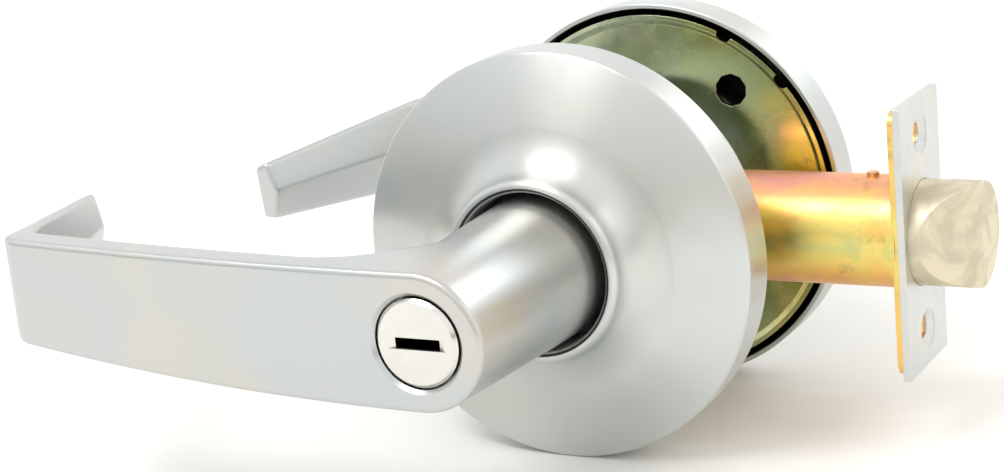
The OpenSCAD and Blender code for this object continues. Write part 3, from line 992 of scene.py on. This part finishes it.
@dataclass(frozen=True)
class Dichromate(Metal):
    """Zinc plate with a yellow film whose colors change with the distance from a level."""

    axis: int = 2
    centre: float = 0.0
    reach: float = 0.012
    phase_near: float = 0.5
    phase_far: float = 0.1
    spread: float = 0.5
    film_scale: float = 26.0
    paleness: float = 0.25

    def base(
        self, tree: bpy.types.NodeTree, groups: Groups, place: bpy.types.NodeSocket
    ) -> bpy.types.NodeSocket:
        """Returns the color of the film over the metal."""
        spot = add(tree, "ShaderNodeSeparateXYZ", {0: place})
        away = math_node(tree, "SUBTRACT", spot.outputs[self.axis], self.centre)
        phase = add(
            tree,
            "ShaderNodeMapRange",
            {0: math_node(tree, "ABSOLUTE", away), 2: self.reach, 3: self.phase_near, 4: self.phase_far},
        )
        film = use(
            tree,
            groups.film,
            {"Vector": place, "Phase": phase.outputs[0], "Spread": self.spread, "Scale": self.film_scale},
        )
        bright = blend_color(tree, self.paleness, film.outputs["Color"], self.color)
        share = math_node(tree, "MULTIPLY", film.outputs["Stain"], 0.55)
        return blend_color(tree, share, bright, self.tint)


@dataclass
class Looks:
    """Every finish of the lockset."""

    groups: Groups = field(default_factory=Groups)
    made: dict[str, bpy.types.Material] = field(default_factory=dict)

    FINISHES = (
        Metal(
            "satin_chrome_lever", (0.53, 0.555, 0.56), (0.575, 0.56, 0.525), 0.29, 0.015,
            Brushing.LENGTHWISE, (70.0, 2200.0, 2200.0), 0.0, 0.00001, 22.0,
        ),
        Metal(
            "satin_chrome_rose", (0.62, 0.645, 0.64), (0.65, 0.65, 0.62), 0.36, 0.05,
            Brushing.ROUND, (3600.0, 7.0, 7.0), 0.3, 0.00001, 30.0, 0.85,
        ),
        Metal(
            "satin_chrome_plate", (0.62, 0.64, 0.64), (0.66, 0.65, 0.62), 0.36, 0.08,
            Brushing.UPRIGHT, (2400.0, 2400.0, 90.0), 0.2, 0.00001, 120.0,
        ),
        Metal(
            "polished_chrome", (0.72, 0.715, 0.68), (0.68, 0.67, 0.64), 0.2, 0.05,
            Brushing.LENGTHWISE, (120.0, 2600.0, 2600.0), 0.06, 0.00001, 90.0,
        ),
        Metal(
            "clear_zinc", (0.66, 0.69, 0.72), (0.56, 0.60, 0.64), 0.34, 0.08,
            stretch=(900.0, 900.0, 900.0), bump=0.15, patch_scale=70.0,
        ),
        # Also used as painted shade on the lower wall of the turn button's slot.
        Metal(
            "sintered_steel", (0.36, 0.33, 0.29), (0.26, 0.24, 0.22), 0.46, 0.1,
            stretch=(2600.0, 2600.0, 2600.0), bump=0.4, patch_scale=90.0,
        ),
        # Also used as painted shade on the inside of the roses.
        Metal(
            "blackened_steel", (0.05, 0.05, 0.05), (0.08, 0.075, 0.07), 0.5, 0.1,
            stretch=(1800.0, 1800.0, 1800.0), bump=0.3, patch_scale=90.0,
        ),
        Metal(
            "satin_nickel", (0.74, 0.67, 0.51), (0.60, 0.54, 0.41), 0.5, 0.1,
            stretch=(1500.0, 1500.0, 1500.0), bump=0.5, bump_depth=0.00004, patch_scale=140.0,
        ),
        Metal(
            "spring_steel", (0.50, 0.51, 0.53), (0.42, 0.43, 0.45), 0.28, 0.06,
            stretch=(2000.0, 2000.0, 2000.0), bump=0.1, patch_scale=200.0,
        ),
        Dichromate(
            "yellow_dichromate_plate", (0.62, 0.66, 0.56), (0.30, 0.32, 0.24), 0.24, 0.1,
            Brushing.ROUND, (1200.0, 14.0, 14.0), 0.1, 0.00001, 60.0,
            axis=0, centre=0.045, reach=0.09, phase_near=0.42, phase_far=0.9, spread=0.7,
            film_scale=38.0, paleness=0.3,
        ),
        Dichromate(
            "yellow_dichromate_tube", (0.72, 0.62, 0.42), (0.40, 0.28, 0.13), 0.4, 0.06,
            Brushing.LENGTHWISE, (300.0, 1600.0, 1600.0), 0.02, 0.00001, 110.0,
            axis=2, centre=-0.001, reach=0.0117, phase_near=0.5, phase_far=0.1, spread=0.55,
            film_scale=60.0, paleness=0.1,
        ),
        Dichromate(
            "yellow_dichromate_part", (0.50, 0.42, 0.26), (0.28, 0.21, 0.10), 0.34, 0.1,
            stretch=(900.0, 900.0, 900.0), axis=2, centre=0.0, reach=0.028, phase_near=0.4,
            phase_far=0.25, spread=0.4, film_scale=45.0, paleness=0.2,
        ),
    )

    def get(self, name: str) -> bpy.types.Material:
        """Returns a finish by its name, and builds it the first time."""
        if name not in self.made:
            finish = next(f for f in self.FINISHES if f.name == name)
            self.made[name] = finish.build(self.groups)
        return self.made[name]


@dataclass
class Levers:
    """Both levers, each with its own button hole."""

    shape: LeverShape = field(default_factory=LeverShape)
    turn_hole_r: float = 9.25
    turn_hole_floor: float = 61.2
    stem_r: float = 4.09
    push_hole_r: float = 4.59
    hole_chamfer: float = 0.75
    catch_z: float = 25.325
    catch_r: float = 2.1
    catch_top: float = 12.3
    slot_half: float = 3.2
    slot_depth: float = 3.2

    def _cut(self, thing: bpy.types.Object, points: Sequence, faces: Sequence, side: Side) -> None:
        """Cuts a closed shape out of a lever."""
        cutter = object_from("cutter", points, faces, side.matrix())
        tool = thing.modifiers.new("hole", "BOOLEAN")
        tool.object = cutter
        tool.solver = "EXACT"
        made_plain(thing)
        bpy.data.objects.remove(cutter)

    def _hollow(self, lever: bpy.types.Object, side: Side) -> None:
        """Cuts what both levers have: the spindle's bore, the catch's pocket and the driver's slots."""
        s = self.shape
        under = s.shank_end - 3
        bore = ((1e-4, under), (s.bore_r, under), (s.bore_r, s.bore_top), (1e-4, s.bore_top))
        self._cut(lever, *lathe_points(bore, 96), side)
        r, z = self.catch_r, self.catch_z
        pin = [(1e-4, 0.0), (r, 0.0), (r, self.catch_top), (1e-4, self.catch_top)]
        points, faces = lathe_points(pin, 32)
        self._cut(lever, [(x, -h, z + y) for x, y, h in points], faces, side)
        wide, half = s.shank_r + 1, self.slot_half
        corners = [
            (x, y, h)
            for x in (-wide, wide)
            for y in (-half, half)
            for h in (under, s.shank_end + self.slot_depth)
        ]
        box_faces = ((0, 1, 3, 2), (4, 6, 7, 5), (0, 4, 5, 1), (2, 3, 7, 6), (0, 2, 6, 4), (1, 5, 7, 3))
        self._cut(lever, corners, box_faces, side)

    def build(self, looks: "Looks") -> None:
        """Builds and dresses both levers."""
        s = self.shape
        c = self.hole_chamfer
        over = s.front + 3
        for name, side, r, floor in (
            ("outside_lever", Side.OUTSIDE, self.turn_hole_r, self.turn_hole_floor),
            ("inside_lever", Side.INSIDE_TURNED, self.push_hole_r, s.bore_top - 1),
        ):
            lever = s.solid(name + "_cast", side)
            self._hollow(lever, side)
            stem = [(1e-4, s.bore_top - 1), (self.stem_r, s.bore_top - 1), (self.stem_r, floor)]
            start = stem if side is Side.OUTSIDE else [(1e-4, floor)]
            rim = [(r, floor), (r, s.front - c), (r + c, s.front), (r + c, over), (1e-4, over)]
            self._cut(lever, *lathe_points(start + rim, 128), side)
            settle(smoothed(lever, 35), looks.get("satin_chrome_lever"), name)


# ---- trim and chassis ----


@dataclass
class Roses:
    """The two spun roses, each a sheet with a concave sweep and a rounded collar."""

    tree: bpy.types.NodeTree
    radius: float = size_mm("outside_rose", 1, 0)
    collar_h: float = -size_mm("outside_rose", 0, 1) - DOOR.half
    rim_h: float = 9.8
    sheet: float = 1.2
    rim_round: float = 0.75
    hole_r: float = 16.9
    lip_w: float = 2.7
    sweep_run: float = 9.4
    face_rise: float = 2.8
    foot: float = 11.125
    segments: int = 192
    turned_in: float = 0.3
    margin: float = 0.5

    def _sweep(self, depth: float, end: float, steps: int) -> list[Point]:
        """Returns points of the sweep, moved inwards by depth, up to an angle in degrees."""
        lip_r = self.hole_r + self.lip_w
        low = self.rim_h + self.face_rise
        tall = self.collar_h - 2 - low
        points = []
        for i in range(steps + 1):
            a = math.radians(end * i / steps)
            r = lip_r + self.sweep_run - (self.sweep_run + depth) * math.sin(a)
            points.append((r, low + tall * (1 - math.cos(a)) - depth * math.cos(a)))
        return points

    def profile(self) -> list[Point]:
        """Returns the section of the sheet, from the foot of the rim round and back."""
        r, t, c = self.radius, self.sheet, self.rim_round
        lip = self.lip_w / 2
        inner = self._sweep(t, 60, 14)
        return [
            (r, 0.25),
            (r, self.rim_h - c),
            *arc(r - c, self.rim_h - c, c, 15, 75, 4),
            *self._sweep(0, 90, 24),
            *arc(self.hole_r + lip, self.collar_h - lip, lip, 0, 180, 14),
            (self.hole_r, self.foot),
            (self.hole_r + t, self.foot),
            (self.hole_r + t, inner[-1][1]),
            *inner[::-1],
            (r - t - 0.6, self.rim_h - t),
            (r - t, self.rim_h - t - 0.6),
            (r - t, 0.25),
            (r - t + 0.25, 0.0),
            (r - 0.25, 0.0),
        ]

    def _is_painted_shade_inside(self, centre: Vector, normal: Vector, out: Vector) -> bool:
        """Says whether a face is on the inside of the sheet, which is given a near-black finish as painted
        shade.
        """
        flat = Vector((centre.x, 0.0, centre.z))
        reach = flat.length / MM
        height = abs(centre.y) / MM - DOOR.half
        inwards = normal.dot(flat.normalized()) < -self.turned_in and reach > self.hole_r + self.margin
        back = normal.dot(out) < -self.turned_in and height > self.margin
        return inwards or (back and reach < self.radius - self.margin)

    def build(self, looks: Looks) -> None:
        """Turns and dresses both roses, with painted shade on the inside of each sheet."""
        for node, side in (("outside_rose", Side.OUTSIDE), ("inside_rose", Side.INSIDE)):
            values = {"Segments": self.segments, "Depth": 0.0}
            rose = grown(node + "_spun", self.tree, values, side.matrix(), self.profile())
            settle(smoothed(rose, 38), looks.get("satin_chrome_rose"), node)
            # The inside faces of each rose get a near-black finish: painted shade, not a finish the sheet
            # has.
            out = (side.matrix().to_3x3() @ Vector((0, 0, 1))).normalized()
            repaint(rose, looks.get("blackened_steel"), lambda c, n: self._is_painted_shade_inside(c, n, out))


@dataclass
class Hubs:
    """The chassis's end caps, with the threaded hubs that carry the rose plates."""

    tree: bpy.types.NodeTree
    cap_r: float = size_mm("outside_hub", 1, 0)
    cap_z: float = -size_mm("outside_hub", 1, 1) - DOOR.half
    end: float = -size_mm("outside_hub", 0, 1) - DOOR.half
    cap_t: float = 2.0
    hub_r: float = 15.9
    bore_r: float = 9.59
    pitch: float = 1.6
    depth: float = 0.7
    edge: float = 0.4

    def profile(self) -> list[Point]:
        """Returns the section of one end cap and its hub."""
        e = self.edge
        foot = self.cap_z + self.cap_t
        rows = math.ceil((self.end - e - foot) / (self.pitch / 8))
        rise = (self.end - e - foot) / rows
        thread = [(self.hub_r, foot + rise * i) for i in range(1, rows)]
        return [
            (self.bore_r, self.cap_z),
            (self.cap_r - e, self.cap_z),
            (self.cap_r, self.cap_z + e),
            (self.cap_r, foot - e),
            (self.cap_r - e, foot),
            (self.hub_r - self.depth, foot),
            *thread,
            (self.hub_r - self.depth, self.end - e / 2),
            (self.hub_r - self.depth - e, self.end),
            (self.bore_r + e, self.end),
            (self.bore_r, self.end - e),
        ]

    def build(self, looks: Looks) -> None:
        """Turns and dresses both hubs."""
        for node, side in (("outside_hub", Side.OUTSIDE), ("inside_hub", Side.INSIDE)):
            values = {
                "Segments": 96,
                "Pitch": self.pitch,
                "Depth": self.depth,
                "Thread Radius": self.hub_r,
            }
            hub = grown(node + "_threaded", self.tree, values, side.matrix(), self.profile())
            settle(smoothed(hub, 30), looks.get("clear_zinc"), node)


# The bodies at the low and high ends of a pressed spring, and the axis it lies along.
SPRING_ENDS = {
    "retractor_springs": ("lockset", "retractor", 0),
    "latch_spring": ("lockset", "retractor", 0),
    "push_button_spring": ("inside_lever", "push_button", 1),
}


@dataclass(frozen=True)
class Coil:
    """One helical spring, wound from the x axis and rising along z."""

    radius: float
    wire: float
    turns: float
    rise: float
    place: Matrix
    clockwise: bool = False


@dataclass
class Springs:
    """All the springs, each node as one piece."""

    tree: bpy.types.NodeTree
    return_r: float = 19.3
    return_wire: float = 1.3
    return_turns: float = 1.75
    return_low: float = 4.55
    return_rise: float = 2.625
    fine_wire: float = 0.7
    pair_height: float = 4.5
    pair_r: float = 2.0
    button_r: float = 5.2
    latch_wire: float = 1.0
    latch_turns: float = 7.0

    def _between(self, node: str, axis: int, wire: float, start: float = 0.0) -> tuple[float, float]:
        """Returns where a coil's centre line starts along an axis, and how far it rises."""
        low, high = (size_mm(node, i, axis) - start for i in (0, 1))
        return low + wire / 2, high - low - wire

    def coils(self) -> dict[str, list[Coil]]:
        """Returns the coils of each spring node."""
        found = {}
        for node, side in (
            ("outside_return_spring", Side.OUTSIDE),
            ("inside_return_spring", Side.INSIDE_TURNED),
        ):
            place = side.matrix() @ Matrix.Translation((0, 0, self.return_low))
            coil = Coil(self.return_r, self.return_wire, self.return_turns, self.return_rise, place, True)
            found[node] = [coil]
        wire = self.fine_wire
        low, rise = self._between("retractor_springs", 0, wire)
        found["retractor_springs"] = [
            Coil(self.pair_r, wire, 4, rise, along_latch(low, z))
            for z in (self.pair_height, -self.pair_height)
        ]
        low, rise = self._between("latch_spring", 0, self.latch_wire)
        r = size_mm("latch_spring", 1, 1) - self.latch_wire / 2
        found["latch_spring"] = [Coil(r, self.latch_wire, self.latch_turns, rise, along_latch(low))]
        low, rise = self._between("push_button_spring", 1, wire, DOOR.half)
        place = Side.INSIDE_TURNED.matrix() @ Matrix.Translation((0, 0, low))
        found["push_button_spring"] = [Coil(self.button_r, wire, 6, rise, place)]
        return found

    def build(self, looks: Looks) -> None:
        """Winds and dresses every spring."""
        for node, coils in self.coils().items():
            parts = []
            for coil in coils:
                values = {
                    "Radius": coil.radius,
                    "Wire": coil.wire,
                    "Turns": float(coil.turns),
                    "Rise": coil.rise,
                    "Clockwise": coil.clockwise,
                    "Sides": 10,
                }
                parts.append(grown(node + "_wound", self.tree, values, coil.place))
            pressed = node in SPRING_ENDS
            coiled = smoothed(joined(parts), 50)
            spring = settle(coiled, looks.get("spring_steel"), node, rides=not pressed)
            if pressed:
                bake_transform(spring)


@dataclass(frozen=True)
class Edging:
    """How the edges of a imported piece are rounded, and what it is made of."""

    edge: float
    finish: str


@dataclass
class MachinedPieces:
    """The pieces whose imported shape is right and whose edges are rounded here."""

    slot_half: float = 1.3
    slot_depth: float = 1.7
    slot_reach: float = 7.0
    slot_lip: float = 0.1
    level: float = 0.9

    def edgings(self) -> dict[str, Edging]:
        """Returns the rounding and the finish of each node."""
        plate = Edging(0.3, "yellow_dichromate_plate")
        zinc = Edging(0.2, "clear_zinc")
        steel = Edging(0.15, "sintered_steel")
        dark = Edging(0.2, "blackened_steel")
        pairs = {
            "rose_plate": plate,
            "spring_cage": dark,
            "driver": dark,
            "spindle": zinc,
            "lever_catch": steel,
        }
        table = {f"{side}_{name}": made for side in ("outside", "inside") for name, made in pairs.items()}
        table |= {
            "outside_turn_button": Edging(0.3, "polished_chrome"),
            "inside_push_button": Edging(0.4, "polished_chrome"),
            "turn_button_clip": Edging(0.1, "spring_steel"),
            "emergency_rod": steel,
            "locking_rod": steel,
            "chassis_frame": Edging(0.3, "clear_zinc"),
            "retractor": Edging(0.3, "sintered_steel"),
            "latch_tail": steel,
            "latch_stop_washer": zinc,
            "latch_tube": Edging(0.2, "yellow_dichromate_tube"),
            "latch_backing_plate": Edging(0.3, "yellow_dichromate_part"),
            "latch_faceplate": Edging(0.22, "satin_chrome_plate"),
            "latch_bolt": Edging(0.6, "satin_nickel"),
        }
        return table

    def build(self, looks: Looks) -> None:
        """Rounds and dresses every piece, with painted shade on the lower wall of the turn button's slot."""
        for node, made in self.edgings().items():
            piece = settle(refined(node, made.edge), looks.get(made.finish), node)
            if node == "outside_turn_button":
                # The slot's lower wall gets a darker steel finish as painted shade in the recess.
                repaint(piece, looks.get("sintered_steel"), self._is_painted_shade_slot_wall)

    def _is_painted_shade_slot_wall(self, centre: Vector, normal: Vector) -> bool:
        """Says whether a face is the lower wall of the turn button's slot, which is given a darker finish as
        painted shade.
        """
        x, y, z = centre / MM
        front = size_mm("outside_turn_button", 0, 1)
        inside = abs(z) < self.slot_half and front + self.slot_lip < y < front + self.slot_depth
        return inside and abs(x) < self.slot_reach and normal.z > self.level


# ---- stage ----


@dataclass(frozen=True)
class Camera:
    """The camera, by its place and the directions it looks in."""

    place: tuple[float, float, float] = (204.87, -418.14, 121.79)
    azimuth: float = 29.27
    elevation: float = 14.84
    roll: float = -5.47
    lens: float = 77.87
    sensor: float = 36.0

    def build(self) -> bpy.types.Object:
        """Makes the camera and returns it."""
        a, e, r = (math.radians(v) for v in (self.azimuth, self.elevation, self.roll))
        back = Vector((math.sin(a) * math.cos(e), -math.cos(a) * math.cos(e), math.sin(e)))
        right = (-back).cross(Vector((0, 0, 1))).normalized()
        up = right.cross(-back)
        x = math.cos(r) * right + math.sin(r) * up
        y = -math.sin(r) * right + math.cos(r) * up
        data = bpy.data.cameras.new("camera")
        data.lens = self.lens
        data.sensor_width = self.sensor
        data.clip_start = 0.01
        camera = bpy.data.objects.new("camera", data)
        bpy.context.scene.collection.objects.link(camera)
        turn = Matrix((x, y, back)).transposed().to_4x4()
        camera.matrix_world = Matrix.Translation(Vector(self.place) * MM) @ turn
        bpy.context.scene.camera = camera
        return camera


@dataclass(frozen=True)
class Lamp:
    """One soft area light, aimed at a point."""

    place: tuple[float, float, float]
    size: tuple[float, float]
    power: float
    color: tuple[float, float, float] = (1.0, 1.0, 1.0)
    aim: tuple[float, float, float] = (0.0, 0.0, 0.0)

    def build(self) -> None:
        """Makes the light."""
        data = bpy.data.lights.new("softbox", "AREA")
        data.shape = "RECTANGLE"
        data.size, data.size_y = self.size
        data.energy = self.power
        data.color = self.color
        lamp = bpy.data.objects.new("softbox", data)
        lamp.location = self.place
        lamp.rotation_euler = (Vector(self.aim) - Vector(self.place)).to_track_quat("-Z", "Y").to_euler()
        bpy.context.scene.collection.objects.link(lamp)


@dataclass
class Stage:
    """The plain floor, the sky round it and the lights."""

    half: float = 4.0
    floor_color: tuple[float, float, float] = (0.88, 0.87, 0.84)
    sky: float = 1.2
    band_low: float = 0.03
    band_high: float = 0.16
    band_dark: float = 0.8
    lamps: tuple[Lamp, ...] = (
        Lamp((-0.25, -0.55, 0.85), (0.5, 0.3), 3.7),
        Lamp((0.75, -0.15, 0.55), (0.25, 0.3), 0.3),
        Lamp((0.45, 0.75, 0.6), (0.6, 0.4), 1.2),
    )

    def _floor(self) -> None:
        """Lays the floor under the lowest point of the object."""
        s, z = self.half, cad_box[0][2]
        corners = [(-s, -s, z), (s, -s, z), (s, s, z), (-s, s, z)]
        floor = object_from("floor", corners, [(0, 1, 2, 3)], Matrix.Identity(4))
        material = bpy.data.materials.new("floor_card")
        material.use_nodes = True
        surface = material.node_tree.nodes["Principled BSDF"]
        surface.inputs["Base Color"].default_value = (*self.floor_color, 1.0)
        surface.inputs["Roughness"].default_value = 0.9
        surface.inputs["Specular IOR Level"].default_value = 0.0
        floor.data.materials.append(material)

    def _sky(self) -> None:
        """Makes a pale sky with a dark band low in front, so that metal has something to mirror."""
        world = bpy.data.worlds.new("studio")
        bpy.context.scene.world = world
        world.use_nodes = True
        tree = world.node_tree
        way = add(tree, "ShaderNodeTexCoord").outputs["Generated"]
        spot = add(tree, "ShaderNodeSeparateXYZ", {0: way})
        height = add(tree, "ShaderNodeMapRange", {0: spot.outputs[2], 1: 0.05, 2: 0.75})
        ramp = add(tree, "ShaderNodeValToRGB", {0: height.outputs[0]})
        paint_ramp(ramp, SKY_BY_HEIGHT)
        front = add(tree, "ShaderNodeMapRange", {0: spot.outputs[1], 1: -0.1, 2: -0.6})
        low = add(
            tree,
            "ShaderNodeMapRange",
            {0: spot.outputs[2], 1: self.band_low, 2: self.band_high, 3: self.band_dark, 4: 0.0},
            interpolation_type="SMOOTHSTEP",
        )
        dim = math_node(tree, "MULTIPLY", front.outputs[0], low.outputs[0])
        share = math_node(tree, "SUBTRACT", 1.0, dim)
        tone = blend_color(tree, 1.0, ramp.outputs[0], share, "MULTIPLY")
        background = tree.nodes["Background"]
        tree.links.new(tone, background.inputs[0])
        background.inputs[1].default_value = self.sky

    def build(self) -> None:
        """Makes the floor, the sky and the lights."""
        self._floor()
        self._sky()
        for lamp in self.lamps:
            lamp.build()
        bpy.context.scene.view_settings.view_transform = "Standard"


SKY_BY_HEIGHT = (
    (0.0, (1.0, 1.0, 0.99)),
    (0.35, (1.0, 1.0, 0.98)),
    (0.7, (1.0, 0.99, 0.97)),
    (1.0, (0.92, 0.92, 0.92)),
)


def main() -> None:
    """Builds every piece in order."""
    logging.basicConfig(level=logging.INFO, format="%(name)s: %(message)s")
    Camera().build()
    Stage().build()
    looks = Looks()
    turned, wound = lathe_tree(), coil_tree()
    Levers().build(looks)
    Roses(turned).build(looks)
    Hubs(turned).build(looks)
    Springs(wound).build(looks)
    MachinedPieces().build(looks)


if __name__ == "__main__":
    main()
